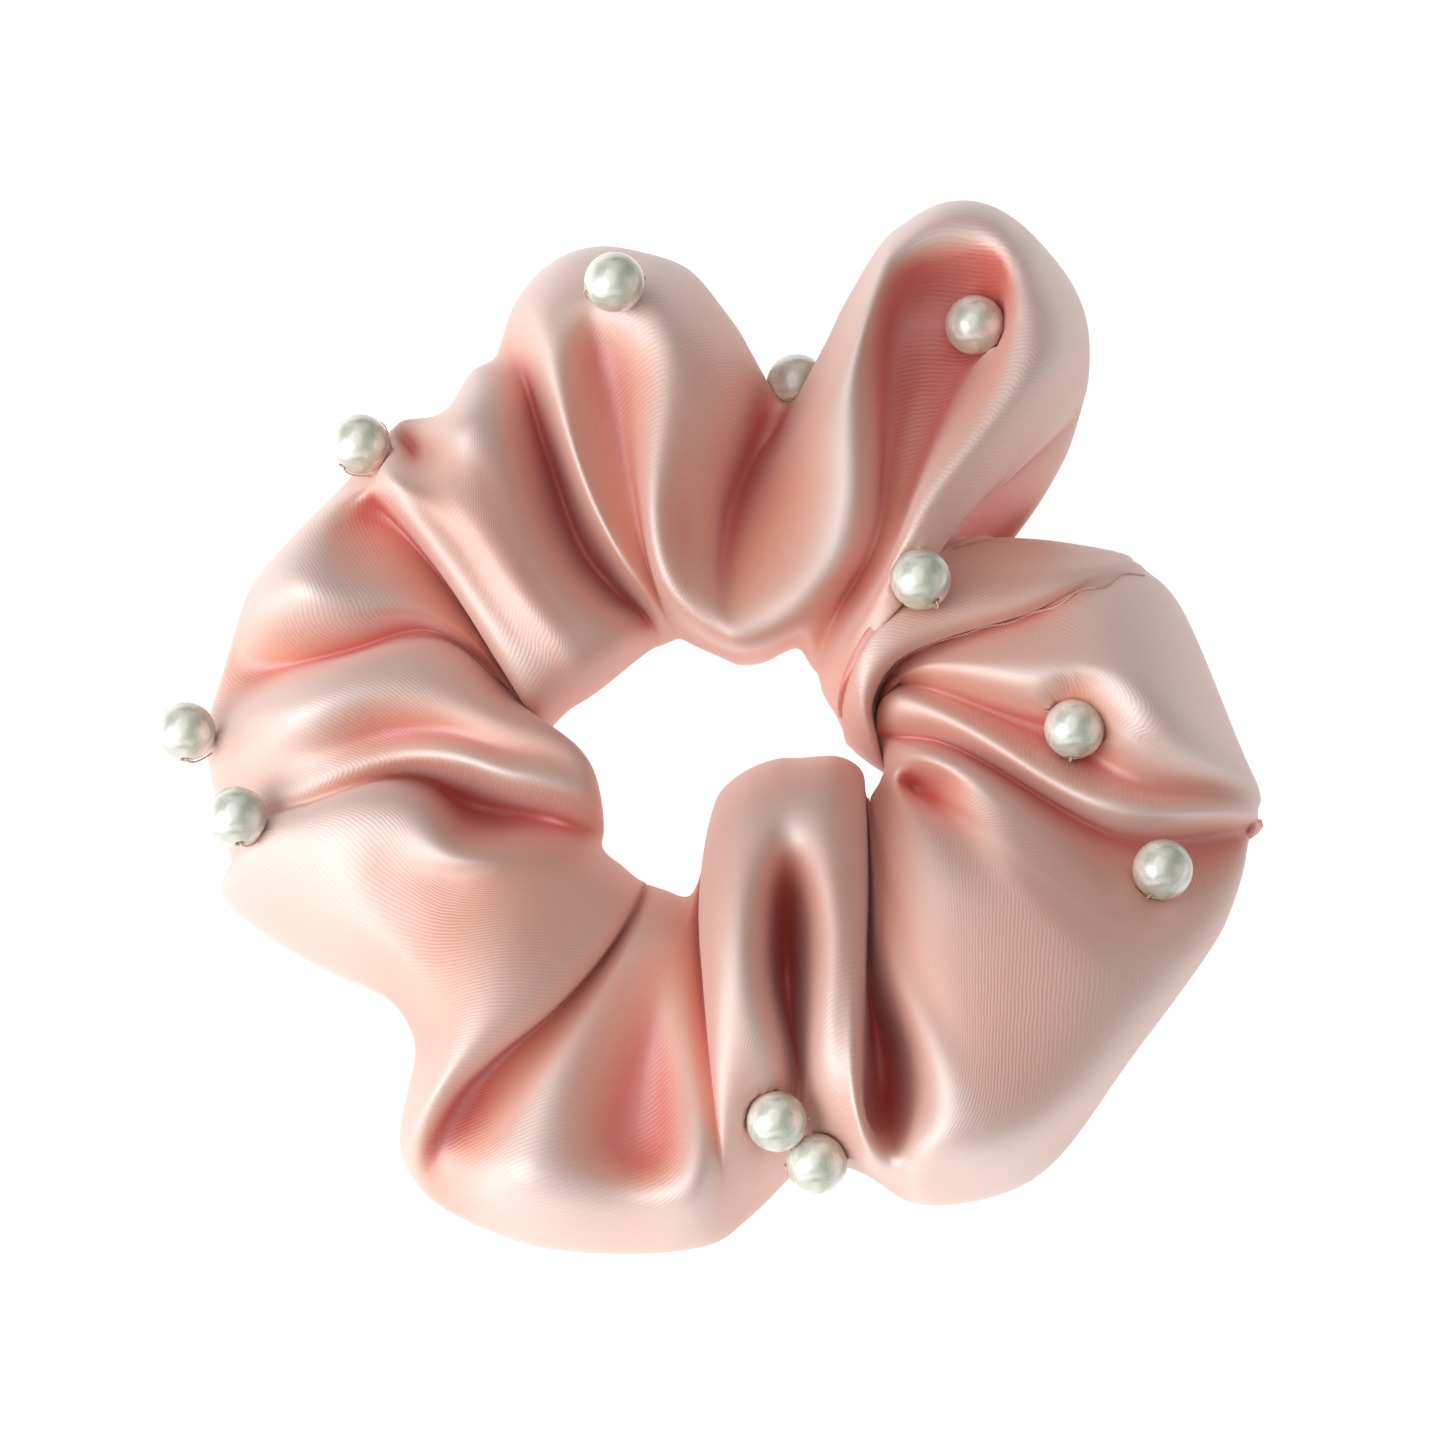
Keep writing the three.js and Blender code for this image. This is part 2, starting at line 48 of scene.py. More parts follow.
# The folds of the gathered satin, counter-clockwise from the top of the ring. Each one runs from
# the hole's edge over the top to the outer edge: (across, up the leaning sheet, height).
FOLDS = {
    "c crest": [
        (-2.5, 10.8, 14), (-4.3, 13, 24.5), (-6.3, 17, 29), (-7, 23, 31),
        (-6.3, 30, 31), (-5.5, 37, 31), (-5, 44, 30.5), (-3, 48.7, 18)],
    "c flank": [
        (0, 9.8, 14), (-1.3, 10.6, 24.5), (-3, 15, 27.5), (-3.7, 21.5, 27),
        (-3, 28, 28), (-1.6, 34.5, 28.5), (-1.5, 40.5, 27), (0, 45, 16)],
    "c back": [
        (1, 9.4, 14), (0.3, 9.9, 24), (-0.3, 13.2, 26.5), (-1.2, 18.8, 25),
        (-0.5, 26.5, 24), (1.2, 32, 24), (2, 37.6, 22), (3.2, 40.3, 13)],
    "c valley": [
        (2, 9.3, 14), (1.7, 9.4, 24), (1.4, 12.2, 26.2), (0.5, 17.2, 22.5),
        (0.8, 22.5, 17), (2.5, 27.5, 12), (4.3, 31, 11), (5.8, 35.3, 13)],
    "a slope": [
        (4.5, 9.6, 14), (4.4, 9.8, 24), (4.5, 13.6, 26.5), (5, 19.2, 25),
        (6.2, 25, 23), (7, 29, 22), (8.2, 33, 20), (8.8, 38, 14)],
    "a left": [
        (7.5, 10.8, 14), (8.3, 12, 24), (10.6, 15.5, 27.5), (12.8, 20, 30),
        (13.5, 27.5, 32.5), (12.9, 35.5, 33.5), (14.8, 45, 33), (15.2, 50, 18)],
    "a tuck": [
        (9, 8, 12), (10.5, 12, 18), (12.8, 16, 20), (15, 20.5, 23),
        (15.7, 28, 22.5), (16.2, 41.5, 22), (17.5, 48.8, 31.5), (18.5, 52.8, 18)],
    "a floor": [
        (9.5, 7.5, 12), (11.5, 11.5, 19), (14.3, 15.5, 22), (16.5, 20.5, 24),
        (18.2, 28.5, 22.5), (21.5, 43.5, 22), (22.6, 52.2, 31), (22.6, 55, 20)],
    "a tuck right": [
        (9.8, 6.8, 13), (12, 10.5, 22), (15, 15, 25), (17.4, 20, 26),
        (20.6, 28.3, 24), (26.6, 42.3, 23), (28.4, 51, 30.5), (28.6, 54, 20)],
    "a right": [
        (10, 5.5, 14), (12, 9, 24), (15, 14.3, 28), (17.5, 19, 30.5),
        (19.7, 24.8, 32), (26.6, 33.3, 32), (32.4, 42.8, 31.5), (34, 49.3, 19)],
    "a face": [
        (11, 4, 14), (12.3, 8, 24), (15.7, 13, 28.5), (19, 18, 30),
        (22.5, 24, 30.5), (29.3, 32.3, 30.5), (35, 39.5, 28.5), (36.8, 44, 17)],
    "a rim": [
        (11.5, 3, 14), (12.3, 7, 24), (16.3, 12.3, 28.5), (20, 17, 29),
        (22.8, 21.5, 27), (27.5, 27.5, 24.5), (34.5, 35, 23), (37.2, 38.2, 14)],
    "a back": [
        (12, 2, 14), (12.2, 6, 23.5), (16.3, 12, 28), (20, 16.5, 28),
        (22.8, 20.5, 22), (26, 24.5, 16), (32.5, 29.5, 15), (35.5, 32.5, 9)],
    "notch": [
        (12.2, 1.5, 14), (12, 5.5, 23), (15.5, 11.5, 27.5), (19.3, 16, 28),
        (21.3, 18.6, 25), (22.5, 20.2, 20), (23, 20.8, 15), (23, 20.8, 9)],
    "p back": [
        (12.3, 1, 13), (11.9, 5, 22), (14.3, 11, 27), (19, 15.8, 27.5),
        (24.3, 20.3, 21), (30.3, 20.8, 20.5), (36, 20.2, 20), (40.5, 19, 10)],
    "p strip": [
        (12.6, 0.5, 13), (12, 4.5, 22), (14, 10, 27), (19, 15, 28),
        (24.5, 18.3, 24), (30.3, 18.6, 23), (36.3, 18.6, 23), (41.3, 18.8, 12)],
    "p edge": [
        (13.8, -0.5, 13), (12.9, 3, 21.5), (13.3, 8, 26.5), (17, 12.3, 28.5),
        (23, 14.8, 28), (29.5, 16, 27), (36, 17.6, 25.5), (42, 18.5, 14)],
    "p lower": [
        (16.2, -2, 13), (15, 1, 21), (14.6, 4.6, 25), (17.3, 8.6, 27),
        (23.3, 11.4, 27), (30.3, 13.2, 26.5), (37, 17, 25), (42.5, 18.2, 14)],
    "p tuck": [
        (16.3, -1.5, 11), (15.5, 1.5, 15), (15.4, 4.8, 17), (18, 8.8, 21),
        (24, 11.1, 22.5), (31, 13, 23.2), (37.8, 16.2, 24), (43.3, 17.3, 13)],
    "o upper": [
        (16.3, -1.3, 11), (15.9, 2, 15), (16.2, 5.3, 18), (18.8, 8, 23),
        (25.5, 9.8, 26), (32.5, 10.8, 28), (39.5, 13, 27), (46.5, 14.5, 14)],
    "o crest": [
        (16.3, -1.2, 11), (16.1, 2.2, 15.5), (16.6, 5.7, 19.5), (20.2, 8.2, 25),
        (28, 7.7, 29), (37, 7, 30.5), (45, 3.5, 29.5), (52, 0, 14)],
    "o lip": [
        (16.3, -1.2, 11), (16.1, 2.4, 15.5), (16.8, 6, 20), (20.5, 7, 24),
        (28, 5.4, 27.5), (36, 3.2, 28.5), (44, -1.5, 28), (54, -4, 15)],
    "n valley": [
        (16.3, -1.2, 11), (16.1, 2.6, 16), (17.2, 5.8, 19), (21, 5.3, 21.5),
        (27.5, 3, 21.5), (34.5, 0.2, 21), (41.5, -3.8, 21.5), (53.5, -5.3, 15)],
    "n crest": [
        (16.3, -1.2, 11), (15.4, 3.6, 18), (16.8, 5.3, 23), (20.8, 4, 25),
        (27, 0.6, 26), (33.5, -3.8, 26), (41, -6.4, 26.5), (53.5, -6.2, 17)],
    "n front": [
        (16.3, -1.4, 11), (15.3, 2.4, 18), (17, 2.3, 21.5), (21, 1.7, 23),
        (26, -0.7, 23), (34, -5.7, 23), (41.3, -8.3, 22.5), (53.3, -7.2, 15)],
    "m tuck": [
        (16.3, -1.8, 11), (15.8, 0.6, 15), (17.5, 0.6, 17), (21.6, 0.2, 18.5),
        (26.7, -2.2, 19), (34.7, -7, 18.5), (42, -9.7, 16), (52.8, -8.5, 9)],
    "m top": [
        (16.2, -2.8, 13), (17.2, -1, 20), (21.2, -1.2, 27), (26, -3.2, 27),
        (31.5, -7.8, 26), (38, -12.8, 23), (45.5, -15, 18), (52.3, -12, 11)],
    "m swirl": [
        (15.8, -3.2, 13), (16.8, -3.2, 21), (19.8, -4.6, 16), (25.2, -7.5, 27.5),
        (31, -12.8, 28.5), (37.5, -18, 26.5), (44.8, -20, 21.5), (50.8, -16, 12)],
    "m upper": [
        (15.5, -3.6, 13), (17, -5.5, 21), (21, -8.5, 28), (26, -13.5, 29.5),
        (31, -19, 29.5), (37, -23.5, 28), (43.5, -24.5, 23), (48.8, -20, 12)],
    "m middle": [
        (14.8, -4.5, 13), (15.8, -8.5, 22), (18.5, -14, 28), (22, -20.5, 30),
        (26, -27, 30), (30.5, -33, 28), (35.5, -35.5, 23), (40, -31.3, 12)],
    "m lower": [
        (14.8, -5, 12), (15.8, -10, 22), (17.5, -16.5, 27), (20, -23, 29),
        (23, -29.5, 30), (25.5, -35.5, 29), (27, -40.5, 25), (32.3, -42.3, 12)],
    "l crest": [
        (14.6, -5, 12), (15, -10.5, 20), (15.6, -16.5, 25), (16.6, -22.5, 27),
        (19.2, -28.5, 29), (20.4, -34.5, 29), (20, -40.2, 27), (23, -45, 12)],
    "l floor": [
        (14.5, -4.5, 11), (14.8, -9.5, 18), (15.1, -15.5, 22), (15.2, -22.3, 21),
        (17.2, -29, 15), (17.7, -35.5, 14.5), (18, -40.6, 24.5), (18.8, -44.8, 12)],
    "l valley": [
        (14.4, -4, 10), (14.6, -9, 15), (14.7, -15, 18), (14.4, -22, 17),
        (14.7, -29, 13), (14.9, -35.3, 14), (16.2, -40.3, 24), (17, -44, 11)],
    "k right edge": [
        (14.2, -2, 13), (14.3, -7, 22), (14.3, -14, 26), (14.1, -21, 28),
        (13.7, -28, 29), (13.5, -34.5, 28.5), (14.6, -40, 25), (15.3, -43, 9)],
    "k right": [
        (13, -1, 13), (12.9, -5, 24.5), (12.6, -12, 28.5), (12.4, -19, 30),
        (12, -26, 30), (12, -32.5, 28.5), (12.9, -38.3, 24), (13.3, -41.8, 9)],
    "k slit right": [
        (11.5, -0.6, 13), (11, -3.3, 25.5), (9.8, -10.5, 29.5), (9.9, -18, 29.5),
        (9.3, -25.5, 29), (9.1, -31.5, 27), (10.8, -37, 21), (11.3, -41, 9)],
    "k slit floor": [
        (10, -0.6, 13), (8.6, -3.6, 26.3), (7.4, -9.8, 28), (7.7, -16.5, 18),
        (7.7, -23.5, 12), (7.8, -30, 14), (8.9, -35.5, 19), (10, -41, 9)],
    "k slit wall": [
        (7.5, -0.8, 13), (6.2, -4, 26.5), (5.6, -10, 28), (5.4, -16.5, 18),
        (5.6, -23.5, 12), (7, -30, 14), (7.9, -35.5, 19), (8.9, -41, 9)],
    "k slit left": [
        (6, -0.7, 13), (4.8, -4.5, 27), (3.9, -11.5, 29.5), (3.6, -18, 29.5),
        (4.3, -24, 28.5), (5.8, -29.5, 27), (7, -35.5, 21.5), (8, -41.5, 9)],
    "k left": [
        (3, -1.7, 13), (2, -5.5, 26.5), (1, -12.5, 30), (0.9, -20, 31),
        (1.5, -27, 29.5), (2.8, -33.5, 26), (4.2, -39.5, 19), (4.9, -45, 8)],
    "k left edge": [
        (0, -4, 13), (-1.3, -8, 23), (-2.2, -15, 26), (-1.8, -22, 27),
        (-1.2, -29, 27), (-0.5, -35.5, 25), (0.9, -41.5, 20.5), (1.9, -47.5, 9)],
    "j tuck": [
        (-0.5, -7, 11), (-1.5, -11, 14), (-2, -17, 17), (-1.6, -23, 18),
        (-1, -29.5, 20), (-0.2, -36, 21.5), (0, -42.5, 20), (0, -48.8, 10)],
    "j right": [
        (-2.5, -14.5, 13), (-3, -17, 19), (-3.2, -21.5, 20.5), (-3.2, -27.5, 22),
        (-2.8, -33.5, 23), (-2.3, -39.5, 24), (-2.6, -45.2, 22), (-3.3, -49.6, 10)],
    "j valley": [
        (-4.7, -14, 13), (-5.3, -17, 21.5), (-6.2, -22, 22), (-7, -27.5, 20.5),
        (-7.8, -33.2, 19), (-8.5, -39.2, 18.5), (-9.3, -45, 20.5), (-9, -50, 10)],
    "j crest": [
        (-6.2, -13.5, 13), (-7.5, -16.9, 22.5), (-10.3, -22, 24), (-13.2, -27.3, 25),
        (-16, -32.5, 25.5), (-18.2, -38.3, 25.5), (-19.8, -43.5, 23.5), (-18, -49.3, 11)],
    "j slope": [
        (-6.8, -13.3, 12), (-8.2, -17.1, 21), (-11.6, -22.2, 22), (-15.3, -27.1, 22.5),
        (-19, -31.6, 21.5), (-22.6, -36.7, 18), (-25, -42.3, 15.5), (-24.6, -47.1, 9)],
    "h tuck": [
        (-7.2, -13.3, 11), (-8.8, -16.9, 18.5), (-12.3, -21.8, 20.5), (-16.8, -26.4, 21),
        (-21.3, -30.1, 19.5), (-25.7, -34.6, 16.5), (-28.4, -39.8, 14.5), (-29, -44.6, 9)],
    "h edge": [
        (-7.3, -13, 13), (-8.8, -16.2, 23), (-12, -20.9, 26), (-16.4, -25.6, 27),
        (-21, -29, 27), (-25.5, -32.7, 26), (-29, -36.7, 23), (-31.8, -40, 12)],
    "h crest": [
        (-8, -12.8, 13), (-10, -15, 24), (-14, -19.3, 28), (-18.3, -23.3, 30),
        (-22.3, -26.8, 30), (-26, -30.4, 28), (-28.9, -33.7, 24), (-31.2, -34.8, 12)],
    "h bend": [
        (-9.5, -11.5, 13), (-12, -13, 24), (-16.5, -16, 28), (-20.5, -18.5, 30),
        (-23.5, -21.5, 30), (-26, -25, 28), (-28, -28, 23), (-30, -29.3, 12)],
    "h valley": [
        (-10.5, -10.8, 13), (-13.5, -11.7, 23), (-18, -13, 27), (-22, -14.8, 28),
        (-26, -17, 27), (-29.5, -19.5, 25), (-32, -22, 22), (-33.5, -24, 12)],
    "h low": [
        (-11, -10.3, 13), (-14.2, -11, 22), (-18.5, -11.5, 26), (-22.8, -12.2, 27.5),
        (-27.5, -12.5, 27), (-33, -12, 26), (-38.5, -16.5, 22.5), (-42, -20.2, 12)],
    "h upper": [
        (-11.4, -9.6, 13), (-14.6, -10, 21), (-18.7, -9.9, 24), (-22.8, -10.5, 28),
        (-27, -9.3, 29), (-30.6, -4.7, 28.8), (-39.5, -6.2, 27), (-50, -13.8, 15)],
    "g pocket": [
        (-11.4, -9, 12), (-14, -8.2, 16), (-17.3, -7.2, 16), (-21, -6.7, 13),
        (-25.3, -5.8, 12.5), (-30.3, -3.2, 18.5), (-38, -4.9, 22.5), (-48.5, -12, 14)],
    "g lower": [
        (-11.3, -8.3, 13), (-12.3, -6.3, 22), (-16, -4.6, 26.5), (-20.5, -3.8, 28),
        (-25, -2, 27.8), (-31.5, -1.6, 25), (-40, -4, 23.5), (-48.8, -10.2, 14)],
    "g valley": [
        (-11.7, -6.8, 13), (-12, -4, 23.5), (-16, -1.5, 25.5), (-21.5, -0.5, 25.5),
        (-27.5, 1.2, 24.5), (-34, 1, 24), (-42, -1.5, 23), (-50.3, -5, 13)],
    "g crest": [
        (-12.6, -5, 13), (-12.5, -1.3, 23.5), (-16, 1.2, 26), (-21, 2.6, 27),
        (-27.3, 4.8, 28), (-34, 5.2, 28.5), (-42.3, 2.8, 27.5), (-51, -0.5, 14)],
    "g back": [
        (-14.5, -3, 12), (-14.8, 0.2, 20), (-17.8, 2.8, 22), (-21.6, 5, 22),
        (-26.6, 9.8, 24.5), (-33.3, 9, 26.5), (-42.3, 5.8, 25), (-51.3, 1, 13)],
    "f tuck": [
        (-16, -1, 12), (-16.3, 1, 15), (-19, 3.5, 16), (-22.5, 6.8, 16.5),
        (-28.3, 11.3, 17), (-36, 9, 17), (-43, 7, 16.5), (-51.3, 2.8, 12)],
    "f lower": [
        (-16.8, 0, 11), (-17.2, 1.8, 15), (-20, 4.8, 16.5), (-23.5, 8.8, 18),
        (-29.8, 12.3, 19.5), (-36.8, 10.4, 18), (-43.5, 9, 16.5), (-49.3, 9, 12)],
    "f curl": [
        (-17.3, 0.4, 11), (-17.8, 2.2, 15), (-20.8, 5.8, 16.5), (-24.8, 11, 20),
        (-31, 14, 26), (-37.2, 13.4, 29.5), (-43, 16, 30), (-47.6, 15, 18)],
    "f upper": [
        (-17.5, 0.7, 11), (-18, 2.6, 15), (-21.2, 7, 16.5), (-24.8, 12.2, 19),
        (-31, 18, 22), (-36.5, 20, 23), (-41, 21, 23.5), (-45, 18.3, 14)],
    "f tip": [
        (-17.7, 0.9, 11), (-18.3, 3, 15), (-21.8, 8, 16.5), (-25.3, 13.7, 18),
        (-30, 19.8, 19), (-33.5, 23.2, 20), (-37, 25.3, 22), (-38.8, 24.8, 13)],
    "e edge": [
        (-17.6, 1, 13), (-19.3, 3.8, 23), (-22.6, 9.5, 27), (-25.9, 14.8, 28),
        (-29.3, 19.8, 28), (-32, 23.3, 27), (-34.5, 26.5, 25), (-36.7, 27.8, 14)],
    "e crest": [
        (-16, 3, 13), (-16, 6, 25), (-19.6, 10.3, 28), (-23, 15.2, 29),
        (-26.4, 20.4, 29), (-30, 24.5, 28.5), (-33, 27.5, 28.5), (-35, 30.3, 16)],
    "e hollow": [
        (-15.2, 3.7, 12.5), (-14.8, 6.6, 25.4), (-18.1, 10.8, 28.6), (-21.5, 15.6, 29.8),
        (-24.9, 20.9, 29.8), (-28.4, 25.5, 29), (-31.4, 29, 20.5), (-33.3, 31.8, 18)],
    "e curl": [
        (-14.3, 4.4, 12), (-13.5, 7.2, 25.8), (-16.5, 11.3, 29.3), (-20, 16, 30.5),
        (-23.3, 21.5, 30.5), (-26.8, 26.5, 29.5), (-30, 29.9, 21), (-31.6, 33.3, 20)],
    "e shoulder": [
        (-12, 5.8, 12), (-11.2, 8.6, 25.2), (-14.4, 12, 28.2), (-18, 16.3, 29.2),
        (-21.2, 22.2, 29.4), (-24.2, 28.3, 29.3), (-27, 32, 30), (-27.2, 33, 17)],
    "e inner": [
        (-8.5, 8.6, 12), (-8.9, 10.9, 23), (-12.4, 13.3, 26), (-15.8, 17.3, 26.5),
        (-18.4, 22.3, 26.5), (-20.5, 28.6, 27.5), (-22.6, 35, 28.5), (-25.4, 38.2, 17)],
    "d tuck": [
        (-6.6, 9.9, 11), (-7.2, 12.4, 15), (-9.9, 14.9, 12.5), (-13.4, 19, 12.5),
        (-15.6, 24.3, 13), (-17.8, 30.5, 17), (-20, 37, 20), (-22.6, 38.8, 14)],
    "d edge": [
        (-5.6, 10.4, 12), (-6.9, 13.6, 21), (-9.8, 17.3, 25), (-12.9, 23.2, 28),
        (-15.3, 29.7, 29), (-17.3, 36, 29), (-19, 42.7, 28), (-21.2, 44.3, 17)],
    "d left": [
        (-5, 10.6, 12), (-6.3, 13.8, 22), (-8.9, 18, 26), (-11.6, 23.7, 27),
        (-13.9, 30.3, 28), (-14.9, 37.5, 28.5), (-15.8, 45, 29), (-17, 49.3, 18)],
    "d valley": [
        (-4.5, 10.8, 12), (-5.9, 13.6, 21.5), (-7.8, 18, 24), (-9.9, 24, 25),
        (-11.4, 31, 25.5), (-12.4, 38.5, 26), (-12.4, 46, 28.5), (-12, 50.9, 18)],
    "c tuck": [
        (-4, 10.8, 11), (-5.4, 13.2, 20.5), (-7, 17.8, 23.5), (-8, 24, 25),
        (-9.1, 31, 25.5), (-9.6, 38, 26.5), (-8.9, 45.7, 29.5), (-7.3, 50, 18)],
}
FOLD_STEPS = 6  # fine rows of cloth from each fold line to the next
ACROSS_STEPS = 6  # fine rows of cloth between neighbouring points across the ring
CLOSING_FOLD = "p tuck"  # where the sleeve's two ends are sewn together

# The way back underneath: share of the way from the hole's edge to the outer edge, height, and
# how much of a low fold's tuck lifts it.
UNDERSIDE = [
    (0.95, 7.0, 0.0), (0.85, 1.6, 0.25), (0.62, 0.5, 0.35), (0.38, 0.5, 0.35), (0.16, 1.6, 0.25),
    (0.04, 7.0, 0.0)]
UNDERSIDE_CREST = 27.0  # a fold is tucked up underneath by what its crest lacks to this height

CREASE_ROUNDS, CREST_ROUNDS = 2, 8  # how much the creases and the crests are evened out
CRISP_DEPTH = 0.5  # the satin turns from crest to crease over this range of depth
CRISP_WIDTH_ROUNDS = 12  # how wide the surroundings are that this depth is measured from
CRISP_BLEND_ROUNDS = 4  # how gently a crease gives way to a crest
GATHERS = [(19, 0.30, 0.4), (31, 0.36, 2.1), (47, 0.22, 4.0), (67, 0.10, 1.3)]  # count, size, phase
GATHERS_FROM, GATHERS_TO = 44, 78  # the fine steps across the ring that have pleats
GATHERS_EDGE = 8  # fine steps over which the pleats start and end
REST_GAP = 0.4  # how far the satin's outer face stays above the floor, to leave room for its
# wall, which lies below that face where a pleat turns over
DEPTH_ROUNDS = 24  # how wide a fold still counts as one
DEEP_FOLD = 1.8  # how far a deep crease lies below the satin round it
SATIN_THICKNESS = 0.35

PEARL_COUNT = 14
PEARL_RADIUS = 3.0
PEARL_TOUCH = 3.08  # from a pearl's middle to the satin's outer face
PEARL_ARC_POINTS, PEARL_SIDES = 25, 48
# The hole's radius at its rim, at the bend of its rounded edge, and inside.
HOLE_RIM, HOLE_EDGE, HOLE_RADIUS = 0.5, 0.44, 0.40
HOLE_EDGE_HEIGHT, HOLE_WALL_HEIGHT = 0.985, 0.95  # of the bend and the wall, as shares of the rim's
PULL_REACH = 4.0  # how far round a pearl the cloth is drawn up by its thread
BOWL_SLOPE = 2.0  # the steepness of the dimple that a pearl presses into the satin round it
BOWL_TOP = 2.0  # cloth this many bead radii above a pearl's middle isn't pressed down

THREAD_RADIUS = 0.11
# Half of a pearl's thread, from its end at the satin, over the bead and into the hole. From the
# pearl's middle: (out of the satin, along the hole).
THREAD_LEG = [
    (-2.9, 1.75), (-2.35, 2.2), (-1.35, 2.9), (-0.5, 3.12), (-0.04, 2.85), (0.0, 2.2), (0.0, 1.0)]
THREAD_SIDES = 8
THREAD_STEPS, STITCH_STEPS = 6, 4  # fine points from each corner of a thread to the next
STITCH_RADIUS = 0.12
STITCH_LIFT = 0.08  # how far the middle of a closing stitch is above the satin
CLOSING_STITCH_STEP = 2  # fine rows from one closing stitch to the next

ELASTIC_MIDDLE = (2.25, 0.2)
ELASTIC_RADIUS = 25.0  # to the middle of its thickness
ELASTIC_SECTION = [
    (-0.5, 4.3), (-0.36, 4.04), (0.36, 4.04), (0.5, 4.3),
    (0.5, 9.7), (0.36, 9.96), (-0.36, 9.96), (-0.5, 9.7)]
ELASTIC_POINTS = 156
LAP_ANGLE = 14.0  # half of what the elastic's two ends overlap, in degrees
LAP_CLIMB_FROM, LAP_CLIMB = 512.0, 12.0  # where the end climbs over the start, in degrees
LAP_STEP = 1.04  # how far out it climbs: the elastic's thickness and a little more
LAP_STITCH_SHARE = 0.8  # how much of the overlap is stitched
LAP_STITCH_SPANS = 22
LAP_STITCH_LOW, LAP_STITCH_HIGH = (1.56, 5.0), (1.6, 9.0)  # out from ELASTIC_RADIUS, height

UV_MAP = "cloth"
DEPTH_NAME = "fold_depth"
SATIN_DARK, SATIN_LIGHT = (0.76, 0.245, 0.135), (0.80, 0.285, 0.160)
# A painted highlight, paler pink on the crests, and painted shade, deep red in the creases for
# shade and light bounced inside the folds.
PAINTED_CREST_HIGHLIGHT, PAINTED_CREASE_SHADE = (0.76, 0.47, 0.40), (0.70, 0.055, 0.012)
SATIN_RIBS = (0.925, 0.905, 0.895)
FULL_CREASE_SHADE = 0.55  # the fold depth from which the satin has its full painted crease shade
PEARL_DARK, PEARL_LIGHT = (0.50, 0.51, 0.42), (0.84, 0.82, 0.75)
THREAD_DARK, THREAD_LIGHT = (0.62, 0.36, 0.31), (0.84, 0.60, 0.54)
ELASTIC_DARK, ELASTIC_LIGHT = (0.62, 0.57, 0.52), (0.87, 0.84, 0.79)

# The studio, in metres.
CAMERA_TARGET = (0.00025, 0.002, 0.015)
CAMERA_DISTANCE = 1.5
CAMERA_REACH = 10
VIEW_WIDTH = 0.1431
FLOOR_HALF = 2.0
# Position, size, power in watts, colour.
KEY_LIGHT = ((-0.75, -0.38, 0.52), 0.95, 6.9, (0.92, 0.98, 1.0))
FILL_LIGHT = ((-0.3, -0.1, 0.85), 1.2, 2.5, (0.97, 0.98, 1.0))
SENSOR_WIDTH = 36  # millimetres of film


def catmull_rom(before, here, after, beyond, t):
    """The point t of the way from here to after, on the smooth curve through all four."""
    slope_here, slope_next = (after - before) / 2, (beyond - here) / 2
    return (here * (2 * t**3 - 3 * t**2 + 1) + slope_here * (t**3 - 2 * t**2 + t)
            + after * (3 * t**2 - 2 * t**3) + slope_next * (t**3 - t**2))


def eased(share):
    """A share from 0 to 1 that starts and ends gently."""
    return share * share * (3 - 2 * share)


def add_object(name, data):
    """Puts a mesh, lamp or camera in the scene."""
    thing = bpy.data.objects.new(name, data)
    bpy.context.scene.collection.objects.link(thing)
    return thing


def lay_down(across, up, height):
    """A point of a fold line in the model's frame, in millimetres."""
    return (across, (up - height * math.sin(LEAN)) / math.cos(LEAN) + ROW_SHIFT, height)


def control_net():
    """Closed sections of the sleeve, one for each fold line: over the top, then back underneath."""
    rows = []
    for fold in FOLDS.values():
        top = np.array([lay_down(*point) for point in fold])
        inner, outer = top[0], top[-1]
        tuck = max(0.0, UNDERSIDE_CREST - top[:, 2].max())
        under = []
        for share, height, lift in UNDERSIDE:
            point = inner + (outer - inner) * share
            under.append((point[0], point[1], height + lift * tuck))
        rows.append(np.vstack([top, under]))
    return np.array(rows)


def smooth_periodic(points, steps, axis):
    """Points of a closed smooth curve through the given ones, along one axis of the array."""
    before, after, beyond = (np.roll(points, shift, axis) for shift in (1, -1, -2))
    fine = [catmull_rom(before, points, after, beyond, step / steps) for step in range(steps)]
    shape = list(points.shape)
    shape[axis] *= steps
    return np.stack(fine, axis + 1).reshape(shape)


def sleeve_grid():
    """The sleeve's surface as a grid of points that closes both ways, in metres."""
    grid = smooth_periodic(control_net(), FOLD_STEPS, 0)
    grid = smooth_periodic(grid, ACROSS_STEPS, 1)
    return grid * MM


def soften(grid, rounds):
    """Evens out a grid that closes both ways: the more rounds, the wider."""
    for _ in range(rounds):
        for axis in (0, 1):
            grid = grid * 0.5 + (np.roll(grid, 1, axis) + np.roll(grid, -1, axis)) * 0.25
    return grid


def surface_normals(grid):
    """The direction out of the satin at each point of the grid."""
    along = np.roll(grid, -1, 0) - np.roll(grid, 1, 0)
    across = np.roll(grid, -1, 1) - np.roll(grid, 1, 1)
    normals = np.cross(along, across)
    return normals / np.linalg.norm(normals, axis=2)[:, :, None]


def sunk_below(smooth, grid):
    """How far each point lies below the smoother surface, in metres."""
    return ((smooth - grid) * surface_normals(grid)).sum(2)


def rounded(grid):
    """Rounds the crests, as stiff satin does, and keeps the creases crisp."""
    crisp = soften(grid, CREASE_ROUNDS)
    sunk = sunk_below(soften(crisp, CRISP_WIDTH_ROUNDS), crisp)
    crease = np.clip(0.5 + sunk / (CRISP_DEPTH * MM), 0, 1)
    keep = soften(crease, CRISP_BLEND_ROUNDS)[:, :, None]
    return soften(grid, CREST_ROUNDS) * (1 - keep) + crisp * keep


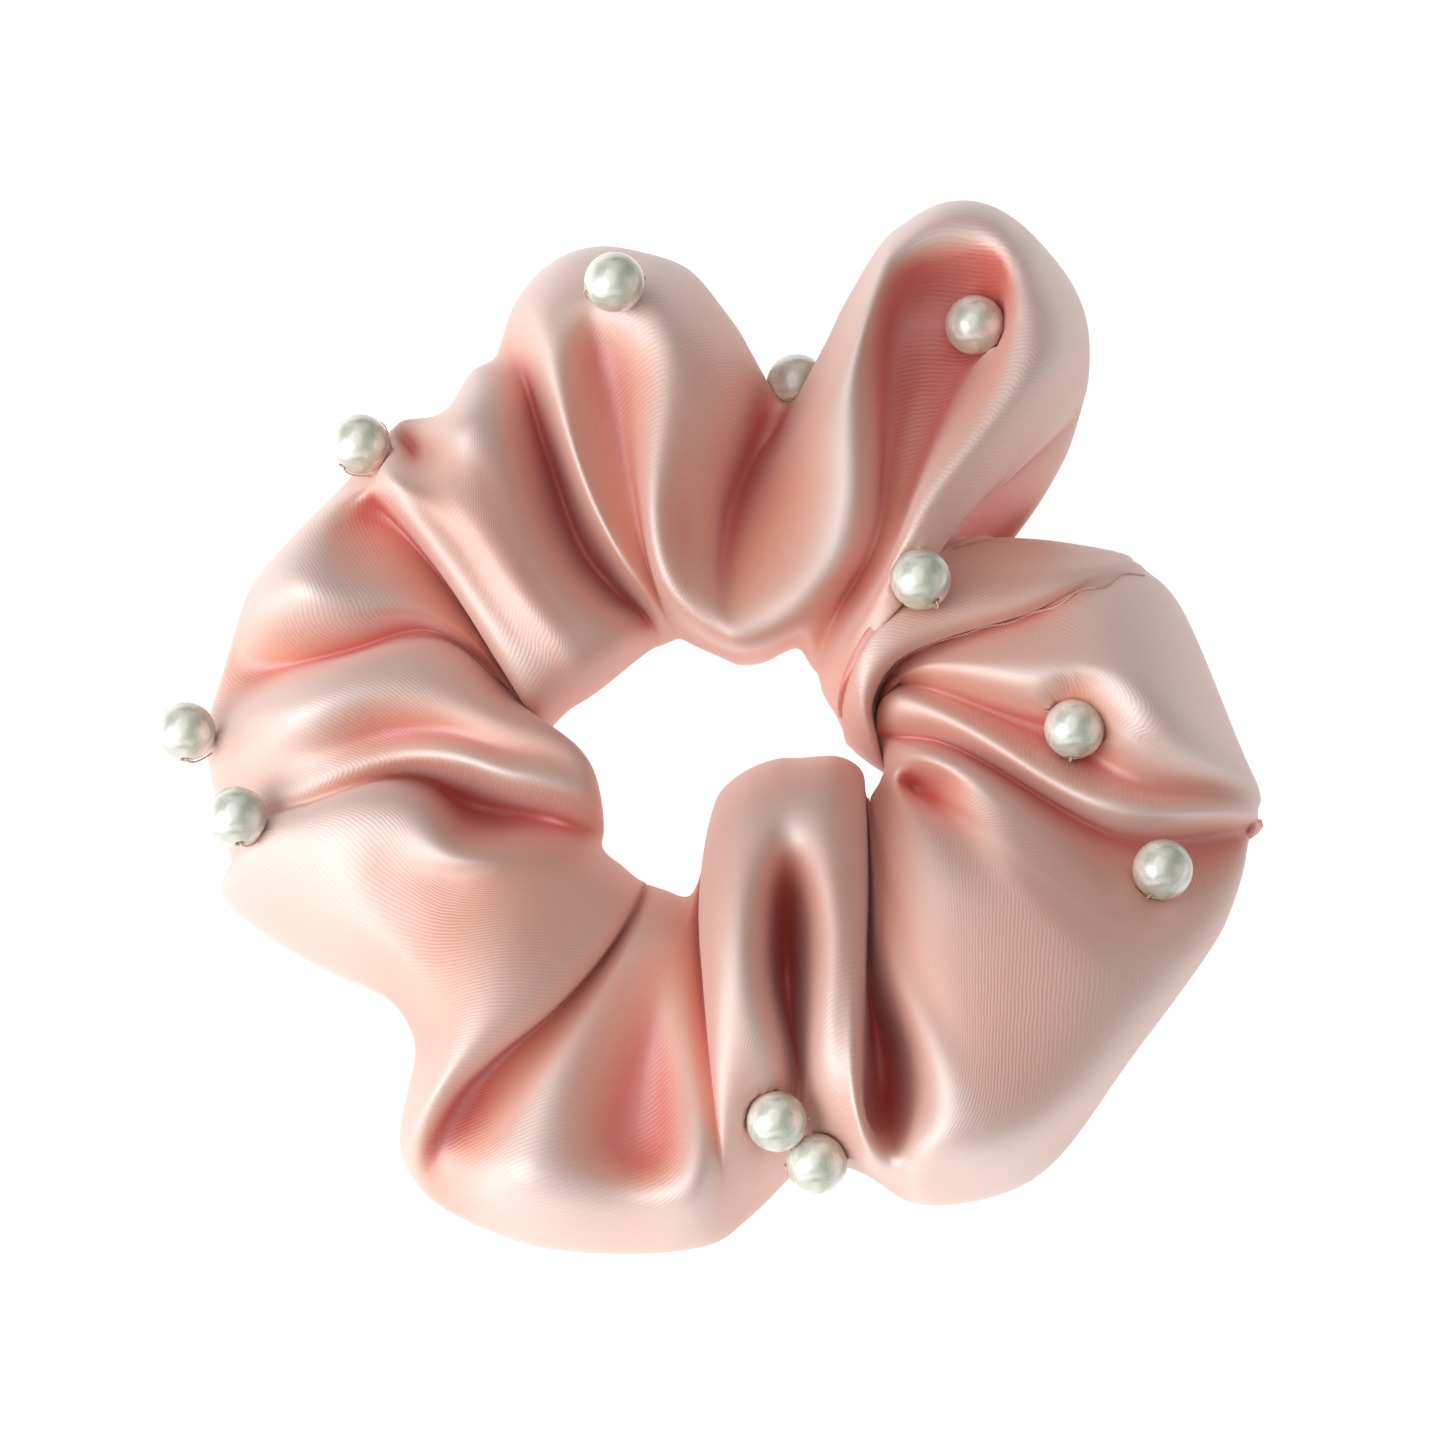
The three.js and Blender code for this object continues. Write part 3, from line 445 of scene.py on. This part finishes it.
def gathered(grid):
    """Small pleats down the outer side and underneath, where the folds run out."""
    rows, columns = grid.shape[:2]
    turn = np.arange(rows) * 2 * math.pi / rows
    pleats = sum(size * np.cos(count * turn + phase) for count, size, phase in GATHERS)
    column = np.arange(columns)
    starting = np.clip((column - GATHERS_FROM) / GATHERS_EDGE, 0, 1)
    ending = np.clip((GATHERS_TO - column) / GATHERS_EDGE, 0, 1)
    amount = pleats[:, None] * eased(starting * ending)[None, :]
    return grid + surface_normals(grid) * amount[:, :, None] * MM


class Pearl:
    """Where a pearl sits, read from the model: its middle and three directions of its own."""

    def __init__(self, number):
        self.number = number
        low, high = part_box(f"pearl_{number}")
        self.middle = (np.array(low) + np.array(high)) / 2
        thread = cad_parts[f"pearl_thread_{number}"]
        points = np.array([thread.matrix_world @ v.co for v in thread.data.vertices])
        # The thread ties the pearl down, so the way from it to the pearl is out of the satin.
        out = self.middle - points.mean(0)
        self.out = out / np.linalg.norm(out)
        # It is longest along the pearl's hole.
        spread = points - points.mean(0)
        values, vectors = np.linalg.eigh(spread.T @ spread)
        along = vectors[:, np.argmax(values)]
        along = along - self.out * (along @ self.out)
        self.along = along / np.linalg.norm(along)
        self.across = np.cross(self.along, self.out)

    def matrix(self):
        """Local Z along the hole, local X out of the satin."""
        m = Matrix(np.column_stack([self.out, self.across, self.along]).tolist()).to_4x4()
        m.translation = self.middle
        return m


def draw_up(points, pearl):
    """Draws the cloth up to the pearl, as its thread does."""
    foot = pearl.middle - pearl.out * PEARL_TOUCH * MM
    gaps = np.linalg.norm(points - foot, axis=1)
    nearest = points[np.argmin(gaps)].copy()
    reach = np.linalg.norm(points - nearest, axis=1) / (PULL_REACH * MM)
    points += np.exp(-(reach**2))[:, None] * (foot - nearest)


def press_in(points, pearl):
    """Presses the cloth out of the bead, into a dimple that widens round it.

    Cloth that lies high over the bead is pressed only part of the way.
    """
    touch = PEARL_TOUCH * MM
    from_middle = points - pearl.middle
    distance = np.linalg.norm(from_middle, axis=1)
    inside = distance < touch
    points[inside] = pearl.middle + from_middle[inside] * (touch / distance[inside])[:, None]
    from_middle = points - pearl.middle
    rise = from_middle @ pearl.out
    aside = np.sqrt(np.maximum((from_middle**2).sum(1) - rise**2, 0))
    past = aside - touch
    bowl = np.where(past < 0, -np.sqrt(np.maximum(touch**2 - aside**2, 0)), past * BOWL_SLOPE)
    near = np.clip(BOWL_TOP - rise / touch, 0, 1) * (rise > bowl)
    points -= (near * (rise - bowl))[:, None] * pearl.out


def seat_pearls(grid, pearls):
    """Fits the cloth to each pearl in turn, and keeps it above the floor."""
    points = grid.reshape(-1, 3)
    for pearl in pearls:
        draw_up(points, pearl)
        press_in(points, pearl)
    points[:, 2] = np.maximum(points[:, 2], REST_GAP * MM)
    return points.reshape(grid.shape)


def fold_depth(grid):
    """How deep each point lies in a fold: 1 in a deep crease, 0 on flat satin, -1 on a crest."""
    return np.clip(sunk_below(soften(grid, DEPTH_ROUNDS), grid) / (DEEP_FOLD * MM), -1, 1)


def grid_mesh(name, grid):
    """A closed mesh of quads over a grid that closes both ways, with a map in cloth metres."""
    rows, columns = grid.shape[:2]
    index = np.arange(rows * columns).reshape(rows, columns)
    right = np.roll(index, -1, 0)
    faces = np.stack([index, right, np.roll(right, -1, 1), np.roll(index, -1, 1)], -1)
    mesh = bpy.data.meshes.new(name)
    mesh.from_pydata(grid.reshape(-1, 3).tolist(), [], faces.reshape(-1, 4).tolist())
    along = np.linalg.norm(np.diff(grid, axis=0, append=grid[:1]), axis=2).mean(1).cumsum()
    along = np.concatenate([[0.0], along])
    around = np.linalg.norm(np.diff(grid, axis=1, append=grid[:, :1]), axis=2)
    around = np.concatenate([np.zeros((rows, 1)), around.cumsum(1)], 1)
    i, j = np.meshgrid(np.arange(rows), np.arange(columns), indexing="ij")
    corners = []
    for di, dj in ((0, 0), (1, 0), (1, 1), (0, 1)):
        corners.append(np.stack([along[i + di], around[(i + di) % rows, j + dj]], -1))
    uv = mesh.uv_layers.new(name=UV_MAP)
    uv.data.foreach_set("uv", np.stack(corners, 2).astype(np.float32).ravel())
    # The fold depth sets where the satin gets its painted crest highlight and painted crease shade.
    depth = mesh.attributes.new(DEPTH_NAME, "FLOAT", "POINT")
    depth.data.foreach_set("value", fold_depth(grid).astype(np.float32).ravel())
    mesh.shade_smooth()
    return add_object(name, mesh)


def swept(name, middles, sideways, upward, section):
    """A body of one section carried along a route, with a map in metres along and round it."""
    count, sides = len(middles), len(section)
    offsets = np.array(section)
    rings = (middles[:, None] + sideways[:, None] * offsets[None, :, :1]
             + upward[:, None] * offsets[None, :, 1:])
    index = np.arange(count * sides).reshape(count, sides).tolist()
    spans = np.linalg.norm(np.diff(middles, axis=0), axis=1)
    along = np.concatenate([[0], spans.cumsum()])
    lengths = np.linalg.norm(np.diff(offsets, axis=0, append=offsets[:1]), axis=1)
    around = np.concatenate([[0], lengths.cumsum()])
    faces, corners = [], []
    for step in range(count - 1):
        here, there = index[step], index[step + 1]
        for side in range(sides):
            other = (side + 1) % sides
            faces.append((here[side], here[other], there[other], there[side]))
            corners += [(along[step], around[side]), (along[step], around[side + 1]),
                        (along[step + 1], around[side + 1]), (along[step + 1], around[side])]
    for row, order in ((0, -1), (count - 1, 1)):
        faces.append(tuple(index[row][::order]))
        corners += [(along[row], around[side]) for side in range(sides)][::order]
    mesh = bpy.data.meshes.new(name)
    mesh.from_pydata(rings.reshape(-1, 3).tolist(), [], faces)
    uv = mesh.uv_layers.new(name=UV_MAP)
    uv.data.foreach_set("uv", np.array(corners, dtype=np.float32).ravel())
    mesh.shade_smooth()
    return add_object(name, mesh)


def thread_along(name, corners, radius, material, steps):
    """A round thread on a smooth curve through the given corners, in metres."""
    corners = np.array(corners)
    ends = np.vstack([2 * corners[0] - corners[1], corners, 2 * corners[-1] - corners[-2]])
    route = [catmull_rom(*ends[i - 1:i + 3], t)
             for i in range(1, len(ends) - 2) for t in np.arange(steps) / steps]
    route = np.array(route + [corners[-1]])
    tangents = np.gradient(route, axis=0)
    tangents /= np.linalg.norm(tangents, axis=1)[:, None]
    side = np.cross(tangents[0], (0.31, 0.83, 0.47))  # any direction that isn't the thread's own
    sideways = []
    for tangent in tangents:
        side = side - tangent * (side @ tangent)
        side /= np.linalg.norm(side)
        sideways.append(side)
    sideways = np.array(sideways)
    turns = -np.arange(THREAD_SIDES) * 2 * math.pi / THREAD_SIDES
    section = [(radius * math.cos(a), radius * math.sin(a)) for a in turns]
    piece = swept(name, route, sideways, np.cross(sideways, tangents), section)
    piece.data.materials.append(material)
    return piece


def sew_pearl(pearl, material):
    """The thread out of the satin, over the bead, through its hole and back into the satin."""
    route = THREAD_LEG + [(x, -z) for x, z in THREAD_LEG[::-1]]
    corners = [pearl.middle + (pearl.out * x + pearl.along * z) * MM for x, z in route]
    name = f"bead_thread_{pearl.number}"
    return thread_along(name, corners, THREAD_RADIUS * MM, material, THREAD_STEPS)


def make_elastic(material):
    """The flat elastic on edge, its end lapped over its start on the outside."""
    degrees = np.linspace(180 - LAP_ANGLE, 540 + LAP_ANGLE, ELASTIC_POINTS)
    turns = np.radians(degrees)
    climb = eased(np.clip((degrees - LAP_CLIMB_FROM) / LAP_CLIMB, 0, 1))
    radius = ELASTIC_RADIUS + climb * LAP_STEP
    outward = np.stack([np.cos(turns), np.sin(turns), np.zeros(len(turns))], -1)
    middles = outward * radius[:, None] * MM + np.array([*ELASTIC_MIDDLE, 0]) * MM
    upward = np.tile([0.0, 0.0, 1.0], (len(turns), 1))
    section = [(x * MM, z * MM) for x, z in ELASTIC_SECTION[::-1]]
    piece = swept("elastic_loop", middles, outward, upward, section)
    piece.data.materials.append(material)
    return piece


def make_lap_stitch(material):
    """The zigzag through the elastic's overlap."""
    corners = []
    for step in range(LAP_STITCH_SPANS + 1):
        share = LAP_STITCH_SHARE * (2 * step / LAP_STITCH_SPANS - 1)
        turn = math.radians(180 + LAP_ANGLE * share)
        out, height = LAP_STITCH_HIGH if step % 2 else LAP_STITCH_LOW
        radius = ELASTIC_RADIUS + out
        corners.append((math.cos(turn) * radius + ELASTIC_MIDDLE[0],
                        math.sin(turn) * radius + ELASTIC_MIDDLE[1], height))
    corners = np.array(corners) * MM
    return thread_along("lap_stitch", corners, STITCH_RADIUS * MM, material, STITCH_STEPS)


def make_closing_stitch(grid, material):
    """Small ladder stitches along the crease where the sleeve's two ends meet."""
    row = list(FOLDS).index(CLOSING_FOLD) * FOLD_STEPS
    last = (len(FOLDS[CLOSING_FOLD]) - 1) * ACROSS_STEPS
    corners = []
    for step, column in enumerate(range(ACROSS_STEPS, last, CLOSING_STITCH_STEP)):
        near = row + (1 if step % 2 else -1)
        along = grid[near + 1, column] - grid[near - 1, column]
        across = grid[near, column + 1] - grid[near, column - 1]
        normal = np.cross(along, across)
        normal /= np.linalg.norm(normal)
        corners.append(grid[near, column] + normal * STITCH_LIFT * MM)
    return thread_along("seam_stitch", corners, STITCH_RADIUS * MM, material, STITCH_STEPS)


def revolved(name, profile, sides):
    """A closed body turned about Z from a closed profile of (distance, height)."""
    count = len(profile)
    turns = np.arange(sides) * 2 * math.pi / sides
    verts = [(r * math.cos(a), r * math.sin(a), z) for a in turns for r, z in profile]
    faces = []
    for side in range(sides):
        here, there = side * count, (side + 1) % sides * count
        for step in range(count):
            after = (step + 1) % count
            faces.append((here + step, there + step, there + after, here + after))
    mesh = bpy.data.meshes.new(name)
    mesh.from_pydata(verts, [], faces)
    mesh.shade_smooth()
    return add_object(name, mesh)


def make_pearl(pearl, material):
    """A bead with a drilled hole whose edges are slightly rounded."""
    radius = PEARL_RADIUS * MM
    start = math.asin(HOLE_RIM / PEARL_RADIUS)
    turns = np.linspace(start, math.pi - start, PEARL_ARC_POINTS)
    profile = [(radius * math.sin(t), -radius * math.cos(t)) for t in turns]
    rim = radius * math.cos(start)
    edge, wall = HOLE_EDGE_HEIGHT * rim, HOLE_WALL_HEIGHT * rim
    profile += [(HOLE_EDGE * MM, edge), (HOLE_RADIUS * MM, wall), (HOLE_RADIUS * MM, 0.0),
                (HOLE_RADIUS * MM, -wall), (HOLE_EDGE * MM, -edge)]
    piece = revolved(f"bead_{pearl.number}", profile, PEARL_SIDES)
    piece.data.transform(pearl.matrix())
    piece.data.materials.append(material)
    return piece


def stretch_with_satin(piece):
    """Bakes the piece's placement into its mesh."""
    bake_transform(piece)


def ride_on_satin(piece):
    """Bakes the piece's placement into its mesh."""
    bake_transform(piece)


def set_inputs(node, values):
    """Links each input that is given a socket, and sets each other one."""
    for key, value in values.items():
        if isinstance(value, bpy.types.NodeSocket):
            node.id_data.links.new(value, node.inputs[key])
        else:
            node.inputs[key].default_value = value


def add_node(tree, kind, inputs=None, **settings):
    """Adds a node with its settings and its inputs."""
    node = tree.nodes.new(kind)
    for key, value in settings.items():
        setattr(node, key, value)
    set_inputs(node, inputs or {})
    return node


def new_material(name):
    """A new material and its node tree."""
    material = bpy.data.materials.new(name)
    material.use_nodes = True
    return material, material.node_tree


def cloth_map(tree, turn=None):
    """The cloth's own coordinates in metres, turned by so many degrees."""
    uv = add_node(tree, "ShaderNodeUVMap", uv_map=UV_MAP).outputs["UV"]
    if turn is None:
        return uv
    rotation = (0, 0, math.radians(turn))
    turned = add_node(tree, "ShaderNodeMapping", {"Vector": uv, "Rotation": rotation})
    return turned.outputs["Vector"]


def wave(tree, inputs, **settings):
    """Bands from 0 to 1, such as ribs or yarns."""
    return add_node(tree, "ShaderNodeTexWave", inputs, **settings).outputs["Fac"]


def noise(tree, inputs):
    """Soft unevenness, mostly near 0.5."""
    return add_node(tree, "ShaderNodeTexNoise", inputs).outputs["Fac"]


def ranged(tree, value, from_min=0.0, from_max=1.0, to_min=0.0, to_max=1.0):
    """The value, spread from one range to another and kept inside it."""
    return add_node(tree, "ShaderNodeMapRange", {
        "Value": value, "From Min": from_min, "From Max": from_max,
        "To Min": to_min, "To Max": to_max}).outputs["Result"]


def mixed(tree, share, first, second, blend="MIX"):
    """A colour from the first one, at a share of 0, to the second one, at 1."""
    first, second = (colour if isinstance(colour, bpy.types.NodeSocket) else (*colour, 1)
                     for colour in (first, second))
    mix = add_node(tree, "ShaderNodeMix", {"Factor": share, "A": first, "B": second},
                   data_type="RGBA", blend_type=blend)
    return mix.outputs["Result"]


def bumped(tree, height, strength, distance):
    """The surface's direction with bumps of this height."""
    return add_node(tree, "ShaderNodeBump", {
        "Height": height, "Strength": strength, "Distance": distance}).outputs["Normal"]


def satin_material():
    """Pink polyester satin: a fine diagonal weave, a painted highlight along the crests, and
    painted shade glowing red in the folds.
    """
    material, tree = new_material("pink_satin")
    uv = cloth_map(tree)
    ribs = wave(tree, {"Vector": cloth_map(tree, 38), "Scale": 940, "Distortion": 3.0, "Detail": 2,
                       "Detail Scale": 0.6})
    threads = noise(tree, {"Vector": uv, "Scale": 1400, "Detail": 2})
    weave = add_node(tree, "ShaderNodeMath", {0: ribs, 1: threads}, operation="ADD").outputs[0]
    depth = add_node(tree, "ShaderNodeAttribute", attribute_name=DEPTH_NAME).outputs["Fac"]
    cloud = noise(tree, {"Scale": 60, "Detail": 4})
    colour = mixed(tree, cloud, SATIN_DARK, SATIN_LIGHT)
    # Painted highlight: paler towards the crests.
    colour = mixed(tree, ranged(tree, depth, 0.0, -1.0), colour, PAINTED_CREST_HIGHLIGHT)
    # Painted shade: deep red in the creases, for shade and light bounced inside the folds.
    colour = mixed(tree, ranged(tree, depth, 0.0, FULL_CREASE_SHADE), colour, PAINTED_CREASE_SHADE)
    colour = mixed(tree, ribs, colour, SATIN_RIBS, "MULTIPLY")
    tangent = add_node(tree, "ShaderNodeTangent", direction_type="UV_MAP", uv_map=UV_MAP)
    set_inputs(tree.nodes["Principled BSDF"], {
        "Base Color": colour,
        "Normal": bumped(tree, weave, 0.16, 0.0001),
        "Roughness": ranged(tree, threads, to_min=0.58, to_max=0.66),
        "IOR": 3.8,
        "Anisotropic": 0.3,
        "Tangent": tangent.outputs["Tangent"],
        "Sheen Weight": 0.5,
        "Sheen Roughness": 0.5,
        "Sheen Tint": (1.0, 0.96, 0.95, 1),
        "Subsurface Weight": 0.18,
        "Subsurface Radius": (1.0, 0.35, 0.25),
        "Subsurface Scale": 0.0035,
    })
    return material


def pearl_material():
    """Pearlescent lacquer over a white bead, cloudy in patches."""
    material, tree = new_material("pearl_lacquer")
    cloud = noise(tree, {"Scale": 2.4, "Detail": 3, "Distortion": 0.6})
    patch = ranged(tree, cloud, 0.36, 0.58)
    set_inputs(tree.nodes["Principled BSDF"], {
        "Base Color": mixed(tree, patch, PEARL_DARK, PEARL_LIGHT),
        "Roughness": ranged(tree, patch, to_min=0.38, to_max=0.24),
        "IOR": 2.2,
        "Coat Weight": 1.0,
        "Coat Roughness": 0.14,
        "Subsurface Weight": 0.25,
        "Subsurface Radius": (1.0, 0.9, 0.8),
        "Subsurface Scale": 0.001,
    })
    return material


def thread_material():
    """Pink polyester thread, two plies twisted round each other."""
    material, tree = new_material("sewing_thread")
    plies = wave(tree, {"Vector": cloth_map(tree, 35), "Scale": 1100, "Distortion": 0.5})
    set_inputs(tree.nodes["Principled BSDF"], {
        "Base Color": mixed(tree, plies, THREAD_DARK, THREAD_LIGHT),
        "Normal": bumped(tree, plies, 0.6, 0.00008),
        "Roughness": ranged(tree, plies, to_min=0.6, to_max=0.42),
        "Sheen Weight": 0.3,
    })
    return material


def elastic_material():
    """Cream braided elastic: ribs along it, crossed by its yarns."""
    material, tree = new_material("braided_elastic")
    uv = cloth_map(tree)
    ribs = wave(tree, {"Vector": uv, "Scale": 300}, bands_direction="Y")
    yarns = wave(tree, {"Vector": uv, "Scale": 420, "Distortion": 0.8}, bands_direction="X")
    weave = add_node(tree, "ShaderNodeMath", {0: ribs, 1: yarns}, operation="MULTIPLY").outputs[0]
    set_inputs(tree.nodes["Principled BSDF"], {
        "Base Color": mixed(tree, weave, ELASTIC_DARK, ELASTIC_LIGHT),
        "Normal": bumped(tree, weave, 0.7, 0.0002),
        "Roughness": ranged(tree, weave, to_min=0.85, to_max=0.68),
    })
    return material


def add_camera():
    """Looks down on the ring from 68 degrees, from far off, so that nothing leans."""
    data = bpy.data.cameras.new("camera")
    data.lens = SENSOR_WIDTH * CAMERA_DISTANCE / VIEW_WIDTH
    data.sensor_width = SENSOR_WIDTH
    data.clip_end = CAMERA_REACH
    camera = add_object("camera", data)
    direction = Vector((0, -math.sin(LEAN), math.cos(LEAN)))
    camera.location = Vector(CAMERA_TARGET) + direction * CAMERA_DISTANCE
    camera.rotation_euler = (LEAN, 0, 0)
    bpy.context.scene.camera = camera


def add_area(name, location, size, power, colour):
    """A round soft light that points at the middle of the floor."""
    data = bpy.data.lights.new(name, "AREA")
    data.shape = "DISK"
    data.size = size
    data.energy = power
    data.color = colour
    light = add_object(name, data)
    light.location = location
    light.rotation_euler = (-Vector(location)).to_track_quat("-Z", "Y").to_euler()


def add_studio():
    """A pale floor, two soft lights and a plain surrounding."""
    mesh = bpy.data.meshes.new("floor")
    corners = [(x * FLOOR_HALF, y * FLOOR_HALF, 0) for x, y in ((-1, -1), (1, -1), (1, 1), (-1, 1))]
    mesh.from_pydata(corners, [], [(0, 1, 2, 3)])
    floor = add_object("floor", mesh)
    material, tree = new_material("floor")
    set_inputs(tree.nodes["Principled BSDF"], {
        "Base Color": (0.5, 0.495, 0.49, 1),
        "Roughness": 0.9,
        "Emission Color": (1, 0.99, 0.98, 1),
        "Emission Strength": 0.7,
    })
    mesh.materials.append(material)
    add_area("key", *KEY_LIGHT)
    add_area("fill", *FILL_LIGHT)
    world = bpy.data.worlds.new("studio")
    world.use_nodes = True
    set_inputs(world.node_tree.nodes["Background"], {"Color": (1, 0.985, 0.97, 1), "Strength": 0.3})
    scene = bpy.context.scene
    scene.world = world
    scene.view_settings.view_transform = "Standard"
    scene.view_settings.look = "Medium High Contrast"


def main():
    """Makes every piece in place of the imported parts, which it hides, then the camera and studio.
    """
    pearls = [Pearl(f"{number:02d}") for number in range(1, PEARL_COUNT + 1)]
    grid = seat_pearls(gathered(rounded(sleeve_grid())), pearls)
    sleeve = grid_mesh("satin_sleeve", grid)
    sleeve.data.materials.append(satin_material())
    wall = sleeve.modifiers.new("wall", "SOLIDIFY")
    wall.thickness = SATIN_THICKNESS * MM
    wall.offset = -1
    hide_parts("sleeve_left", "sleeve_right")
    stretch_with_satin(sleeve)
    lacquer, thread = pearl_material(), thread_material()
    for pearl in pearls:
        bead = make_pearl(pearl, lacquer)
        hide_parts(f"pearl_{pearl.number}")
        sewing = sew_pearl(pearl, thread)
        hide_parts(f"pearl_thread_{pearl.number}")
        for piece in (bead, sewing):
            ride_on_satin(piece)
    elastic = make_elastic(elastic_material())
    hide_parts("elastic_left", "elastic_right")
    lap = make_lap_stitch(thread)
    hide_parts("elastic_lap_stitch")
    closing = make_closing_stitch(grid, thread)
    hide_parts("closing_stitch")
    for piece in (elastic, lap, closing):
        stretch_with_satin(piece)
    add_camera()
    add_studio()


main()
